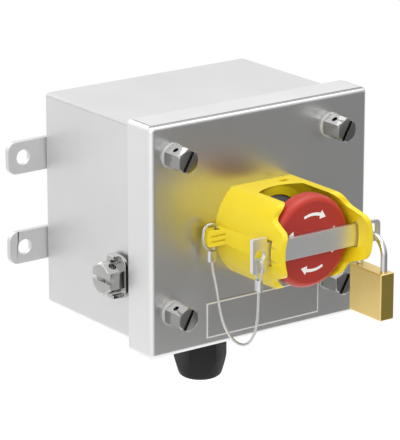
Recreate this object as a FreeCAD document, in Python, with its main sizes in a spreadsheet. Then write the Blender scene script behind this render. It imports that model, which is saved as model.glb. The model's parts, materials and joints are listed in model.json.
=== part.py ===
import FreeCAD, Part
import math
import os
import re

import Sketcher

# Emergency stop station: a stainless box for a wall, with a mushroom button in a yellow shroud,
# a lock bar on a lanyard, a padlock, a cable gland and an earth screw.
# The front faces -Y, the wall is the plane Y = 0 and the origin is the middle of the four wall holes.

os.makedirs("parts", exist_ok=True)
doc = FreeCAD.newDocument("EmergencyStopStation")
V = FreeCAD.Vector

# Driving sizes in millimetres, degrees where the name says angle.
SIZES = {
    # box
    "body_width": 112.8,
    "body_height": 99.8,
    "box_depth": 88.5,  # back of the box to the face of the lid
    "body_sheet": 1.5,
    "body_bend": 2.0,
    "rim_left": 12.0,
    "rim_right": 22.6,
    "rim_top": 16.0,
    "rim_bottom": 21.6,
    "lug_thickness": 2.5,
    "lug_height": 15.2,
    "lug_corner": 4.4,
    "lug_tip": 8.0,
    "lug_overlap": 16.0,
    "wall_hole_radius": 3.5,
    "wall_hole_reach": 11.8,  # past the side of the box
    "wall_pitch_z": 42.5,
    # lid
    "lid_overhang_sides": 3.6,  # past the box, left and right
    "lid_overhang_ends": 3.1,  # past the box, above and below
    "lid_lip": 17.2,
    "lid_sheet": 1.5,
    "lid_bend": 2.4,
    "lid_slit": 0.5,
    "gasket_thickness": 2.0,
    "gasket_inset": 1.0,
    # lid screws
    "screw_radius": 3.0,
    "screw_from_left": 8.0,  # from that side of the box
    "screw_from_right": 17.6,
    "screw_from_top": 11.2,
    "screw_from_foot": 16.9,
    "screw_reach": 13.0,
    "head_across": 10.0,
    "head_height": 11.0,
    "head_chamfer_radius": 4.7,
    "slot_width": 1.6,
    "slot_depth": 3.0,
    "wire_hole_radius": 1.3,
    "wire_hole_depth": 6.2,
    "screw_hole_clearance": 0.3,
    "washer_radius": 5.8,
    "washer_thickness": 1.2,
    "retainer_radius": 4.8,
    "retainer_thickness": 1.2,
    "bush_radius": 4.9,
    "bush_length": 12.0,
    "thread_play": 0.05,
    # label
    "label_from_left": 26.1,  # from that side of the box
    "label_from_right": 23.7,
    "label_height": 16.4,
    "label_thickness": 0.6,
    "label_from_foot": 9.6,  # from the foot of the box to the label's middle
    # shroud
    "shroud_radius": 25.5,
    "shroud_wall": 2.5,
    "shroud_flat": 19.4,
    "shroud_floor": 2.5,
    "ring_depth": 10.0,
    "ear_depth": 35.7,
    "ear_corner": 3.6,
    "ear_hollow": 3.0,
    "tongue_depth": 47.4,
    "tongue_root": 13.4,
    "tongue_tip": 9.4,
    "tongue_corner": 4.2,
    "collar_play": 0.5,
    "drain_width": 4.4,
    "drain_depth": 2.6,
    "drain_x": 8.4,
    "drain_y": 5.6,
    "boss_reach": 33.6,
    "boss_height": 7.0,
    "boss_near": 2.7,
    "boss_depth": 5.4,
    "boss_hole_x": 28.8,
    "boss_hole_radius": 1.7,
    "boss_groove": 0.8,
    # actuator
    "collar_radius": 17.2,
    "collar_front": 22.0,
    "collar_chamfer": 0.8,
    "seal_thickness": 1.0,
    "tail_radius": 11.0,
    "tail_length": 16.0,
    "tail_play": 0.25,
    "recess_radius": 13.0,
    "recess_floor": 10.0,
    "ring_nut_radius": 16.0,
    "ring_nut_thickness": 4.0,
    "ring_nut_notch": 3.0,
    "stem_radius": 7.5,
    "stem_play": 0.05,
    "stem_tail": 9.0,
    "button_travel": 6.0,
    "sleeve_radius": 12.5,
    "sleeve_wall": 1.3,
    "sleeve_back": 19.0,
    "sleeve_web": 2.3,
    "head_radius": 21.0,
    "head_back": 29.5,
    "head_front": 37.0,
    "head_taper": 0.8,
    "head_round": 3.2,
    "head_socket": 4.0,
    "turn_gap": 0.2,
    "spring_radius": 9.4,
    "spring_wire": 0.6,
    "spring_turns": 5.0,
    # contacts
    "carrier_width": 32.0,
    "carrier_height": 30.0,
    "carrier_thickness": 5.0,
    "contact_width": 14.0,
    "contact_height": 34.0,
    "contact_length": 24.0,
    "contact_gap": 0.6,
    "contact_pin_radius": 2.0,
    "contact_pin_length": 14.0,
    "contact_pin_x": 4.6,
    "terminal_step": 7.0,
    "terminal_drop": 6.0,
    "terminal_radius": 2.4,
    "terminal_head": 1.6,
    # lock bar
    "bar_back": 37.4,
    "bar_thickness": 2.0,
    "bar_height": 9.9,
    "bar_right": 36.2,
    "bar_end_corner": 2.4,
    "tab_left": 34.4,
    "tab_right": 26.8,
    "tab_height": 15.6,
    "tab_hole_x": 30.5,
    "tab_hole_radius": 2.8,
    "lock_hole_x": 32.2,
    "lock_hole_width": 4.6,
    "lock_hole_height": 7.1,
    "bar_corner": 0.8,
    "bar_slot_play": 1.0,
    # padlock
    "case_thickness": 7.5,
    "case_width": 22.0,
    "case_height": 21.5,
    "case_edge": 0.5,
    "shackle_radius": 1.5,
    "shackle_pitch": 16.4,
    "shackle_rise": 15.5,
    "shackle_forward": 0.5,
    "shackle_play": 0.08,
    "shackle_rest": 0.3,
    "heel_depth": 14.0,
    "toe_depth": 6.0,
    "bore_spare": 1.0,
    "plug_radius": 2.6,
    "plug_length": 9.0,
    "keyway_width": 0.9,
    "keyway_depth": 7.0,
    # lanyard
    "rope_radius": 0.65,
    "eye_half_width": 4.0,
    "eye_top": 3.0,
    "eye_lean": 0.9,
    "eye_play": 0.35,
    "strand_gap": 0.3,
    "ferrule_width": 4.4,
    "ferrule_depth": 2.6,
    "ferrule_height": 5.0,
    "boss_ferrule_top": 6.0,
    "tab_eye_half_width": 2.9,
    "tab_eye_top": 3.95,
    "tab_ferrule_top": 11.0,
    # earth screw
    "earth_behind_lid": 27.5,
    "earth_z": -20.8,
    "earth_radius": 4.0,
    "earth_washer_radius": 7.2,
    "earth_washer_thickness": 1.6,
    "clamp_width": 15.0,
    "clamp_height": 19.6,
    "clamp_corner": 5.0,
    "clamp_sheet": 1.6,
    "clamp_lip": 3.0,
    "earth_head_across": 13.6,
    "earth_head_height": 8.3,
    "earth_slot_width": 2.0,
    "earth_slot_depth": 2.6,
    "earth_wire_hole": 1.8,
    "earth_nut_thickness": 6.5,
    "earth_end": 5.0,
    # cable gland
    "gland_thread": 8.0,
    "gland_across": 21.5,
    "gland_washer_radius": 12.0,
    "gland_washer_thickness": 1.2,
    "gland_hex_height": 12.4,
    "gland_nut_height": 21.8,
    "gland_taper_height": 9.8,
    "gland_foot_radius": 9.6,
    "gland_shoulder_round": 8.0,
    "gland_foot_round": 3.2,
    "gland_bore": 6.0,
    "gland_tube_radius": 9.2,
    "gland_tube_height": 12.0,
    "gland_mouth": 5.0,
    "gland_mouth_lip": 2.6,
    "seal_ring_radius": 7.4,
    "seal_bore": 4.0,
    "seal_length": 15.0,
    "locknut_across": 20.0,
    "locknut_thickness": 4.0,
    "gland_thread_top": 9.0,
}

sheet = doc.addObject("Spreadsheet::Sheet", "Sizes")
for row, (alias, number) in enumerate(SIZES.items(), start=1):
    sheet.set("A%d" % row, alias.replace("_", " "))
    sheet.set("B%d" % row, str(number))
    sheet.setAlias("B%d" % row, alias)
doc.recompute()
size = {alias: float(sheet.get(alias)) for alias in SIZES}

# Distances in front of the wall, as formulas of the sheet.
front = "(lug_thickness + box_depth)"  # face of the lid
rim_front = "(lug_thickness + box_depth - lid_sheet - gasket_thickness)"
lid_width = "(body_width + 2 * lid_overhang_sides)"
lid_height = "(body_height + 2 * lid_overhang_ends)"
wall_hole_x = "(body_width / 2 + wall_hole_reach)"
earth_y = "(-(%s - earth_behind_lid))" % front
gland_y = "(-(lug_thickness + %s) / 2)" % rim_front
bar_middle = "(%s + bar_back + bar_thickness / 2)" % front
crown_z = "(-lock_hole_height / 2 + shackle_radius + shackle_rest)"
lock_middle = "(%s + shackle_forward)" % bar_middle


def bind(item, prop, formula):
    """Tie one property to a formula of the sheet's names."""
    tied = re.sub("[a-z_]+", lambda word: "Sizes." + word[0] if word[0] in SIZES else word[0], formula)
    item.setExpression(prop, tied)


def place(item, x, y, z):
    bind(item, "Placement.Base.x", x)
    bind(item, "Placement.Base.y", y)
    bind(item, "Placement.Base.z", z)


# Primitives and booleans

FORWARD = FreeCAD.Rotation(V(1, 0, 0), 90)  # local Z to -Y
LEFTWARD = FreeCAD.Rotation(V(0, 1, 0), -90)  # local Z to -X


def rod(name, radius, start, length, x="0", z="0"):
    """A round bar along Y that begins `start` in front of the wall and runs forwards."""
    item = doc.addObject("Part::Cylinder", name)
    item.Placement = FreeCAD.Placement(V(0, 0, 0), FORWARD)
    bind(item, "Radius", radius)
    bind(item, "Height", length)
    place(item, x, "-(%s)" % start, z)
    return item


def post(name, radius, x, y, low, height):
    """A round bar along Z that stands on `low`."""
    item = doc.addObject("Part::Cylinder", name)
    bind(item, "Radius", radius)
    bind(item, "Height", height)
    place(item, x, y, low)
    return item


def side_rod(name, radius, x, length, y, z):
    """A round bar along X that begins at `x` and runs to the left."""
    item = doc.addObject("Part::Cylinder", name)
    item.Placement = FreeCAD.Placement(V(0, 0, 0), LEFTWARD)
    bind(item, "Radius", radius)
    bind(item, "Height", length)
    place(item, x, y, z)
    return item


def hexagon(name, across, height, turn, x, y, z):
    """A hexagon bar with the given turn; its flats face left and right."""
    item = doc.addObject("Part::Prism", name)
    item.Polygon = 6
    item.Placement = FreeCAD.Placement(V(0, 0, 0), turn * FreeCAD.Rotation(V(0, 0, 1), 30))
    bind(item, "Circumradius", "%s / 2 / cos(30)" % across)
    bind(item, "Height", height)
    place(item, x, y, z)
    return item


def block(name, x, y, z, length, width, height):
    """A box from its low corner."""
    item = doc.addObject("Part::Box", name)
    bind(item, "Length", length)
    bind(item, "Width", width)
    bind(item, "Height", height)
    place(item, x, y, z)
    return item


def fuse(name, *items):
    item = doc.addObject("Part::MultiFuse", name)
    item.Shapes = list(items)
    return item


def common(name, *items):
    item = doc.addObject("Part::MultiCommon", name)
    item.Shapes = list(items)
    return item


def cut(name, base, *tools):
    item = doc.addObject("Part::Cut", name)
    item.Base = base
    item.Tool = tools[0] if len(tools) == 1 else fuse(name + "_tools", *tools)
    return item


def group(name, items):
    item = doc.addObject("Part::Compound", name)
    item.Links = list(items)
    return item


# Sketched bodies


def new_body(name):
    body = doc.addObject("PartDesign::Body", name)
    body.Label = name
    return body


def new_sketch(body, name, role, offset="0"):
    """A sketch on one of the body's own planes, moved along the plane's normal."""
    sketch = body.newObject("Sketcher::SketchObject", name)
    base = next(item for item in body.Origin.OriginFeatures if item.Role == role)
    sketch.AttachmentSupport = (base, [""])
    sketch.MapMode = "FlatFace"
    bind(sketch, "AttachmentOffset.Base.z", offset)
    return sketch


def tie_point(sketch, geometry, point, x, y):
    for kind, formula in (("DistanceX", x), ("DistanceY", y)):
        number = sketch.addConstraint(Sketcher.Constraint(kind, geometry, point, 1.0))
        bind(sketch, "Constraints[%d]" % number, formula)


def outline(sketch, corners):
    """A closed outline of straight edges with every corner tied to its two formulas."""
    count = len(corners)
    first = sketch.GeometryCount
    spots = [V(math.cos(math.tau * i / count), math.sin(math.tau * i / count), 0) for i in range(count)]
    for i in range(count):
        sketch.addGeometry(Part.LineSegment(spots[i], spots[(i + 1) % count]), False)
    for i in range(count):
        sketch.addConstraint(Sketcher.Constraint("Coincident", first + i, 2, first + (i + 1) % count, 1))
    for i, (x, y) in enumerate(corners):
        tie_point(sketch, first + i, 1, x, y)
    return sketch


def rectangle(sketch, width, height, x="0", y="0"):
    left = "%s - (%s) / 2" % (x, width)
    right = "%s + (%s) / 2" % (x, width)
    low = "%s - (%s) / 2" % (y, height)
    high = "%s + (%s) / 2" % (y, height)
    return outline(sketch, [(left, low), (right, low), (right, high), (left, high)])


def circle(sketch, radius, x="0", y="0"):
    index = sketch.addGeometry(Part.Circle(V(0, 0, 0), V(0, 0, 1), 1.0), False)
    number = sketch.addConstraint(Sketcher.Constraint("Radius", index, 1.0))
    bind(sketch, "Constraints[%d]" % number, radius)
    tie_point(sketch, index, 3, x, y)
    return sketch


def pad(body, name, sketch, length, both_ways=False):
    item = body.newObject("PartDesign::Pad", name)
    item.Profile = sketch
    item.Midplane = both_ways
    bind(item, "Length", length)
    doc.recompute()
    return item


def pocket(body, name, sketch, length, along_normal=False, both_ways=False):
    item = body.newObject("PartDesign::Pocket", name)
    item.Profile = sketch
    item.Reversed = along_normal
    item.Midplane = both_ways
    bind(item, "Length", length)
    doc.recompute()
    return item


def revolve(body, name, sketch, axis):
    item = body.newObject("PartDesign::Revolution", name)
    item.Profile = sketch
    item.ReferenceAxis = (sketch, [axis])
    item.Angle = 360.0
    doc.recompute()
    return item


def round_edges(body, name, feature, radius, wanted):
    """Round the feature's edges for which wanted(edge) holds."""
    names = ["Edge%d" % (i + 1) for i, edge in enumerate(feature.Shape.Edges) if wanted(edge)]
    item = body.newObject("PartDesign::Fillet", name)
    item.Base = (feature, names)
    bind(item, "Radius", radius)
    doc.recompute()
    return item


def ends(edge):
    return [vertex.Point for vertex in edge.Vertexes]


def runs_along(edge, axis):
    """True for a straight edge along the axis: 0 is X, 1 is Y and 2 is Z."""
    points = ends(edge)
    if len(points) < 2:
        return False
    step = points[1] - points[0]
    return abs(abs(step[axis]) - step.Length) < 1e-6


def lies_at(edge, axis, where):
    return all(abs(point[axis] - where) < 1e-6 for point in ends(edge))


CORNERS = ((-1, 1), (1, 1), (-1, -1), (1, -1))
SCREWS = [(x, z) for z in ("(body_height / 2 - screw_from_top)", "-(body_height / 2 - screw_from_foot)")
          for x in ("-(body_width / 2 - screw_from_left)", "(body_width / 2 - screw_from_right)")]


def at_screws(make):
    """One copy of a small piece at each lid screw."""
    return [make(x, z) for x, z in SCREWS]


def frame_opening(edge):
    """Middle and size of the opening inside the rim, drawn in by `edge`."""
    width = "(body_width - rim_left - rim_right + 2 * %s)" % edge
    height = "(body_height - rim_top - rim_bottom + 2 * %s)" % edge
    return width, height, "((rim_left - rim_right) / 2)", "((rim_bottom - rim_top) / 2)"


# Box


def enclosure_body():
    body = new_body("enclosure_body")
    depth = "(%s - lug_thickness)" % rim_front
    shell = pad(body, "BoxOuter", rectangle(new_sketch(body, "BoxOutline", "XZ_Plane", "lug_thickness"),
                                            "body_width", "body_height"), depth)
    back = -size["lug_thickness"]
    shell = round_edges(body, "BoxBends", shell, "body_bend", lambda e: runs_along(e, 1) or lies_at(e, 1, back))
    opening = rectangle(new_sketch(body, "RimOutline", "XZ_Plane", rim_front), *frame_opening("0"))
    pocket(body, "RimOpening", opening, "%s - body_sheet" % depth)
    inside = rectangle(new_sketch(body, "InsideOutline", "XZ_Plane", "%s - body_sheet" % rim_front),
                       "body_width - 2 * body_sheet", "body_height - 2 * body_sheet")
    pocket(body, "Inside", inside, "%s - 2 * body_sheet" % depth)
    holes = new_sketch(body, "RimHoles", "XZ_Plane", rim_front)
    for x, z in SCREWS:
        circle(holes, "screw_radius + screw_hole_clearance", x, z)
    pocket(body, "RimScrewHoles", holes, "body_sheet")
    floor = new_sketch(body, "GlandHole", "XY_Plane", "-body_height / 2 + body_sheet")
    circle(floor, "gland_thread + screw_hole_clearance", "0", gland_y)
    pocket(body, "GlandHoleCut", floor, "body_sheet")
    side = new_sketch(body, "EarthHole", "YZ_Plane", "-body_width / 2 + body_sheet")
    circle(side, "earth_radius + screw_hole_clearance", earth_y, "earth_z")
    pocket(body, "EarthHoleCut", side, "body_sheet")
    return body


def wall_lug(name, side, level):
    body = new_body(name)
    inner = "(body_width / 2 - lug_overlap)"
    outer = "(%s + lug_tip)" % wall_hole_x
    middle = "%d * (%s + %s) / 2" % (side, inner, outer)
    height = "%d * wall_pitch_z / 2" % level
    plate = pad(body, name + "_plate",
                rectangle(new_sketch(body, name + "_outline", "XZ_Plane"), "%s - %s" % (outer, inner),
                          "lug_height", middle, height), "lug_thickness")
    tip = side * (size["body_width"] / 2 + size["wall_hole_reach"] + size["lug_tip"])
    round_edges(body, name + "_corners", plate, "lug_corner", lambda e: runs_along(e, 1) and lies_at(e, 0, tip))
    hole = circle(new_sketch(body, name + "_hole", "XZ_Plane", "lug_thickness"), "wall_hole_radius",
                  "%d * %s" % (side, wall_hole_x), height)
    pocket(body, name + "_drill", hole, "lug_thickness")
    return body


def corner_bushes():
    def bush(x, z):
        start = "%s - body_sheet - bush_length" % rim_front
        return cut("Bush", rod("BushOuter", "bush_radius", start, "bush_length", x, z),
                   rod("BushBore", "screw_radius + thread_play", start, "bush_length", x, z))
    return group("corner_bushes", at_screws(bush))


# Lid


def lid():
    body = new_body("lid")
    base = "(%s - lid_lip)" % front
    tray = pad(body, "LidOuter", rectangle(new_sketch(body, "LidOutline", "XZ_Plane", base),
                                           lid_width, lid_height), "lid_lip")
    face = -(size["lug_thickness"] + size["box_depth"])
    round_edges(body, "LidBends", tray, "lid_bend", lambda e: runs_along(e, 1) or lies_at(e, 1, face))
    inside = rectangle(new_sketch(body, "LidInside", "XZ_Plane", base),
                       lid_width + " - 2 * lid_sheet", lid_height + " - 2 * lid_sheet")
    pocket(body, "LidHollow", inside, "lid_lip - lid_sheet", along_normal=True)
    holes = new_sketch(body, "LidHoles", "XZ_Plane", front)
    circle(holes, "tail_radius + tail_play")
    for x, z in SCREWS:
        circle(holes, "screw_radius + screw_hole_clearance", x, z)
    pocket(body, "LidHolesCut", holes, "lid_sheet")
    slits = new_sketch(body, "LipSlits", "XZ_Plane", base)
    for x, z in CORNERS:
        rectangle(slits, "lid_slit", "4 * lid_bend",
                  "%d * (%s / 2 - lid_sheet - lid_slit)" % (x, lid_width), "%d * %s / 2" % (z, lid_height))
    pocket(body, "LipSlitsCut", slits, "lid_lip - 2 * lid_bend", along_normal=True)
    return body


def lid_gasket():
    width = "(body_width - 2 * gasket_inset)"
    height = "(body_height - 2 * gasket_inset)"
    open_width, open_height, open_x, open_z = frame_opening("gasket_inset")
    low = "-(%s + gasket_thickness)" % rim_front
    sheet_ring = block("GasketOuter", "-%s / 2" % width, low, "-%s / 2" % height, width, "gasket_thickness", height)
    gap = block("GasketOpening", "%s - %s / 2" % (open_x, open_width), low, "%s - %s / 2" % (open_z, open_height),
                open_width, "gasket_thickness", open_height)
    holes = at_screws(lambda x, z: rod("GasketHole", "retainer_radius + 0.4", rim_front, "gasket_thickness", x, z))
    return cut("lid_gasket", sheet_ring, gap, *holes)


def hex_head(name, across, height, chamfer, slot, slot_depth, wire_hole, wire_depth, turn=30):
    """A tall hexagon head on local Z, slotted across its face and drilled twice for a sealing wire."""
    bar = hexagon(name + "Hex", across, height, FreeCAD.Rotation(), "0", "0", "0")
    cone = doc.addObject("Part::Cone", name + "Chamfer")
    bind(cone, "Radius2", chamfer)
    bind(cone, "Radius1", "%s + %s * tan(60)" % (chamfer, height))
    bind(cone, "Height", height)
    groove = block(name + "Slot", "-%s / 2" % slot, "-%s" % across, "%s - %s" % (height, slot_depth),
                   slot, "2 * %s" % across, slot_depth)
    groove.Placement.Rotation = FreeCAD.Rotation(V(0, 0, 1), -turn)
    place(groove, "-%s / 2 * cos(%d) - %s * sin(%d)" % (slot, turn, across, turn),
          "%s / 2 * sin(%d) - %s * cos(%d)" % (slot, turn, across, turn), "%s - %s" % (height, slot_depth))
    drills = []
    for angle in (30, 150):
        drill = doc.addObject("Part::Cylinder", name + "WireHole")
        turn = FreeCAD.Rotation(V(0, 0, 1), angle + 90) * FreeCAD.Rotation(V(0, 1, 0), 90)
        drill.Placement = FreeCAD.Placement(V(0, 0, 0), turn)
        bind(drill, "Radius", wire_hole)
        bind(drill, "Height", "2 * %s" % across)
        place(drill, "-%s * cos(%d)" % (across, angle + 90), "-%s * sin(%d)" % (across, angle + 90),
              "%s - %s" % (height, wire_depth))
        drills.append(drill)
    return cut(name + "Head", common(name + "Blank", bar, cone), groove, *drills)


def lid_screws():
    """Four captive screws that share one head shape."""
    head = hex_head("LidScrew", "head_across", "head_height", "head_chamfer_radius", "slot_width", "slot_depth",
                    "wire_hole_radius", "wire_hole_depth")
    shank = post("LidScrewShank", "screw_radius", "0", "0", "-(washer_thickness + screw_reach)",
                 "washer_thickness + screw_reach")
    screw = fuse("LidScrew", head, shank)
    doc.recompute()
    items = []
    for x, z in SCREWS:
        item = doc.addObject("Part::Feature", "LidScrewCopy")
        item.Shape = screw.Shape
        item.Placement = FreeCAD.Placement(V(0, 0, 0), FORWARD)
        place(item, x, "-(%s + washer_thickness)" % front, z)
        items.append(item)
    return group("lid_screws", items)


def screw_washers():
    def washer(x, z):
        return cut("Washer", rod("WasherOuter", "washer_radius", front, "washer_thickness", x, z),
                   rod("WasherBore", "screw_radius + thread_play", front, "washer_thickness", x, z))
    return group("screw_washers", at_screws(washer))


def screw_retainers():
    def ring(x, z):
        start = "%s - lid_sheet - retainer_thickness" % front
        return cut("Retainer", rod("RetainerOuter", "retainer_radius", start, "retainer_thickness", x, z),
                   rod("RetainerBore", "screw_radius + thread_play", start, "retainer_thickness", x, z))
    return group("screw_retainers", at_screws(ring))


def label_plate():
    return block("label_plate", "label_from_left - body_width / 2", "-(%s + label_thickness)" % front,
                 "label_from_foot - body_height / 2 - label_height / 2",
                 "body_width - label_from_left - label_from_right", "label_thickness", "label_height")


# Shroud


def shroud():
    """A round tube with two flats, whose sides run on as ears with a rounded tongue each."""
    side = new_body("ShroudOutline")
    path = new_sketch(side, "EarOutline", "YZ_Plane")
    upper = [("-%s" % front, "shroud_flat"),
             ("-(%s + ear_depth)" % front, "shroud_flat"),
             ("-(%s + ear_depth)" % front, "tongue_root"),
             ("-(%s + tongue_depth)" % front, "tongue_tip")]
    lower = [(y, "-" + z) for y, z in reversed(upper)]
    outline(path, upper + lower)
    prism = pad(side, "EarPrism", path, "2 * shroud_radius + 2", both_ways=True)
    face = size["lug_thickness"] + size["box_depth"]
    for name, depth, radius in (("EarCorners", "ear_depth", "ear_corner"),
                                ("TongueCorners", "tongue_depth", "tongue_corner")):
        reach = -(face + size[depth])
        high = size["shroud_flat"] if depth == "ear_depth" else size["tongue_tip"]
        prism = round_edges(side, name, prism, radius, lambda e: runs_along(e, 0) and lies_at(e, 1, reach)
                            and abs(abs(ends(e)[0].z) - high) < 1e-6)
    shoulder = -(face + size["ear_depth"])
    round_edges(side, "EarHollows", prism, "ear_hollow", lambda e: runs_along(e, 0) and lies_at(e, 1, shoulder)
                and abs(abs(ends(e)[0].z) - size["tongue_root"]) < 1e-6)
    blank = common("ShroudBlank", side, rod("ShroudRound", "shroud_radius", front, "tongue_depth + 1"))
    low = "-(%s + boss_near + boss_depth)" % front
    boss = block("Boss", "-boss_reach", low, "-boss_height / 2", "boss_reach - shroud_radius + shroud_wall / 2",
                 "boss_depth", "boss_height")
    grooves = [block("BossGroove", "-boss_reach", low, "%s * boss_height / 2 - boss_groove / 2" % share,
                     "boss_reach - shroud_radius", "boss_groove", "boss_groove") for share in ("0.36", "-0.36")]
    eye = post("BossHole", "boss_hole_radius", "-boss_hole_x", "-(%s + boss_near + boss_depth / 2)" % front,
               "-boss_height", "2 * boss_height")
    slot_low = "-(%s + bar_back + bar_thickness + bar_slot_play)" % front
    slot = block("BarSlot", "-2 * shroud_radius", slot_low, "-bar_height / 2 - bar_slot_play", "4 * shroud_radius",
                 "bar_thickness + 2 * bar_slot_play", "bar_height + 2 * bar_slot_play")
    inner = rod("ShroudInside", "shroud_radius - shroud_wall", "%s + ring_depth" % front, "tongue_depth")
    ring = rod("RingBore", "collar_radius + collar_play", "%s + shroud_floor" % front, "tongue_depth")
    hole = rod("FloorHole", "tail_radius + tail_play", front, "shroud_floor")
    drain = block("DrainHole", "drain_x - drain_width / 2", "-(%s + drain_y + drain_depth / 2)" % front, "0",
                  "drain_width", "drain_depth", "2 * shroud_flat")
    whole = fuse("ShroudSolid", cut("ShroudShell", blank, inner, ring, hole, slot, drain),
                 cut("BossSolid", boss, eye, *grooves))
    whole.Label = "shroud"
    return whole


# Actuator


def turned(name, profile, extra=None):
    """A body turned about the button's axis from corners (distance in front of the lid, radius)."""
    body = new_body(name)
    sketch = new_sketch(body, name + "_profile", "YZ_Plane")
    outline(sketch, [("-(%s + %s)" % (front, depth), radius) for depth, radius in profile])
    feature = revolve(body, name + "_turned", sketch, "H_Axis")
    if extra:
        extra(body, feature)
    return body


def actuator_seal():
    start = "%s + shroud_floor" % front
    return cut("actuator_seal", rod("SealOuter", "collar_radius - collar_chamfer", start, "seal_thickness"),
               rod("SealBore", "tail_radius + tail_play", start, "seal_thickness"))


def collar():
    seat = "shroud_floor + seal_thickness"
    return turned("collar", [("collar_front", "recess_radius"),
                             ("collar_front", "collar_radius - collar_chamfer"),
                             ("collar_front - collar_chamfer", "collar_radius"),
                             (seat, "collar_radius"),
                             (seat, "tail_radius"),
                             ("-tail_length", "tail_radius"),
                             ("-tail_length", "stem_radius + stem_play"),
                             ("recess_floor", "stem_radius + stem_play"),
                             ("recess_floor", "recess_radius")])


def ring_nut():
    start = "%s - lid_sheet - ring_nut_thickness" % front
    nut = rod("NutOuter", "ring_nut_radius", start, "ring_nut_thickness")
    bore = rod("NutBore", "tail_radius + thread_play", start, "ring_nut_thickness")
    low = "-(%s - lid_sheet)" % front
    across = block("NutNotchX", "-2 * ring_nut_radius", low, "-ring_nut_notch / 2", "4 * ring_nut_radius",
                   "ring_nut_thickness", "ring_nut_notch")
    upright = block("NutNotchZ", "-ring_nut_notch / 2", low, "-2 * ring_nut_radius", "ring_nut_notch",
                    "ring_nut_thickness", "4 * ring_nut_radius")
    hub = rod("NutHub", "ring_nut_radius - ring_nut_notch / 2", start, "ring_nut_thickness")
    teeth = cut("NutTeeth", nut, across, upright)
    return cut("ring_nut", fuse("NutSolid", teeth, hub), bore)


def stem():
    return turned("stem", [("head_back + head_socket - turn_gap", "0"),
                           ("head_back + head_socket - turn_gap", "stem_radius"),
                           ("head_back - turn_gap", "stem_radius"),
                           ("head_back - turn_gap", "sleeve_radius"),
                           ("sleeve_back", "sleeve_radius"),
                           ("sleeve_back", "sleeve_radius - sleeve_wall"),
                           ("head_back - turn_gap - sleeve_web", "sleeve_radius - sleeve_wall"),
                           ("head_back - turn_gap - sleeve_web", "stem_radius"),
                           ("-stem_tail", "stem_radius"),
                           ("-stem_tail", "0")])


def red_head():
    face = -(size["lug_thickness"] + size["box_depth"] + size["head_front"])

    def rounded(body, feature):
        round_edges(body, "HeadRim", feature, "head_round",
                    lambda e: lies_at(e, 1, face) and e.Length > math.pi * size["head_radius"])

    return turned("red_head", [("head_front", "0"),
                               ("head_front", "head_radius"),
                               ("head_back + head_taper", "head_radius"),
                               ("head_back", "head_radius - 2 * head_taper"),
                               ("head_back", "stem_radius + stem_play"),
                               ("head_back + head_socket", "stem_radius + stem_play"),
                               ("head_back + head_socket", "0")], rounded)


def return_spring():
    """A coil between the collar's recess and the web of the sleeve, in short straight lengths of hexagonal wire."""
    wire = size["spring_wire"]
    radius = size["spring_radius"]
    low = size["recess_floor"] + 2 * wire
    high = size["head_back"] - size["turn_gap"] - size["sleeve_web"] - 2 * wire
    steps = round(size["spring_turns"] * 12)
    spots = []
    for i in range(steps + 1):
        angle = math.tau * i / 12
        spots.append(V(radius * math.cos(angle), radius * math.sin(angle), low + (high - low) * i / steps))
    along = (spots[1] - spots[0]).normalize()
    across = along.cross(V(1, 0, 0)).normalize()
    out = across.cross(along)
    ring = []
    for i in range(7):
        angle = math.tau * i / 6
        ring.append(spots[0] + (out * math.cos(angle) + across * math.sin(angle)) * wire)
    item = doc.addObject("Part::Feature", "return_spring")
    item.Shape = Part.makePolygon(spots).makePipeShell([Part.makePolygon(ring)], True, False, 1)
    item.Placement = FreeCAD.Placement(V(0, -(size["lug_thickness"] + size["box_depth"]), 0), FORWARD)
    return item


# Contacts


def contact_carrier():
    plate = block("CarrierPlate", "-carrier_width / 2", "-(%s - tail_length + carrier_thickness)" % front,
                  "-carrier_height / 2", "carrier_width", "carrier_thickness", "carrier_height")
    return cut("contact_carrier", plate, rod("CarrierBore", "tail_radius + thread_play",
                                             "%s - tail_length" % front, "carrier_thickness"))


def contact_block(name, side):
    """A switch block with a step for its terminals at each end."""
    body = new_body(name)
    back = "(%s - tail_length)" % front
    near = "-%s" % back
    far = "-%s + contact_length" % back
    half = "(contact_height / 2)"
    profile = [(near, "-%s + terminal_step" % half), (near, "%s - terminal_step" % half),
               ("%s + terminal_drop" % near, "%s - terminal_step" % half), ("%s + terminal_drop" % near, half),
               (far, half), (far, "-%s" % half),
               ("%s + terminal_drop" % near, "-%s" % half),
               ("%s + terminal_drop" % near, "-%s + terminal_step" % half)]
    start = "contact_gap / 2" if side > 0 else "-contact_gap / 2 - contact_width"
    pad(body, name + "_block", outline(new_sketch(body, name + "_outline", "YZ_Plane", start), profile),
        "contact_width")
    pin = circle(new_sketch(body, name + "_pin_bore", "XZ_Plane", back), "contact_pin_radius + stem_play",
                 "%d * contact_pin_x" % side, "0")
    pocket(body, name + "_pin_cut", pin,
           "stem_tail + contact_pin_length + button_travel + bore_spare - tail_length")
    return body


def contact_pins():
    items = [rod("ContactPin", "contact_pin_radius", "%s - stem_tail - contact_pin_length" % front,
                 "contact_pin_length", "%d * contact_pin_x" % side) for side in (-1, 1)]
    return group("contact_pins", items)


def terminal_screws():
    items = []
    seat = "(%s - tail_length - terminal_drop)" % front
    for side in (-1, 1):
        for level in (-1, 1):
            x = "%d * (contact_gap + contact_width) / 2" % side
            z = "%d * (contact_height - terminal_step) / 2" % level
            head = rod("TerminalHead", "terminal_radius", seat, "terminal_head", x, z)
            groove = block("TerminalSlot", "%s - terminal_radius" % x, "-(%s + terminal_head)" % seat,
                           "%s - terminal_head / 6" % z, "2 * terminal_radius", "terminal_head / 2",
                           "terminal_head / 3")
            items.append(cut("TerminalScrew", head, groove))
    return group("terminal_screws", items)


# Lock bar


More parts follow.
